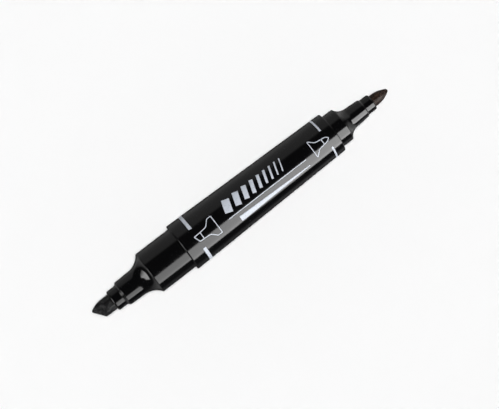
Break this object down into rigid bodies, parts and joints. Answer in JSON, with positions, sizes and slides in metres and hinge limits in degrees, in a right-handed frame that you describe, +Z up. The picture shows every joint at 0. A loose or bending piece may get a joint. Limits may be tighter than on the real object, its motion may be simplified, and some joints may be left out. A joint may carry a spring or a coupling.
{
  "type": "twin-tip marker pen",
  "caption": "Twin-tip felt marker without its caps: tapered barrel, stepped cap seat at each end, slanted chisel nib at the broad end and bullet nib at the fine end.",
  "frame": {"origin": "on the marker's axis, midway between the tips of its nibs", "axes": "+X along the axis towards the bullet nib, +Z up with the marker on its side and the printed side and the chisel's broad face upwards"},
  "size_m": [0.1159, 0.0164, 0.0164],
  "materials": {
    "barrel_plastic": "moulded black polypropylene, gloss",
    "front_plastic": "moulded black polypropylene, gloss",
    "chisel_felt": "pressed polyester felt soaked with black ink",
    "bullet_felt": "pressed polyester felt stained brown-black by ink",
    "reservoir_fibre": "bundled polyester fibre soaked with ink",
    "reservoir_film": "thin polyester film",
    "print_ink": "white pad-printed ink"
  },
  "bodies": {
    "root": {"barrel": "barrel_plastic", "broad_front": "front_plastic", "fine_front": "front_plastic", "broad_bush": "front_plastic", "fine_bush": "front_plastic", "chisel_nib": "chisel_felt", "bullet_nib": "bullet_felt", "ink_reservoir": "reservoir_fibre", "reservoir_film": "reservoir_film"}
  },
  "joints": []
}
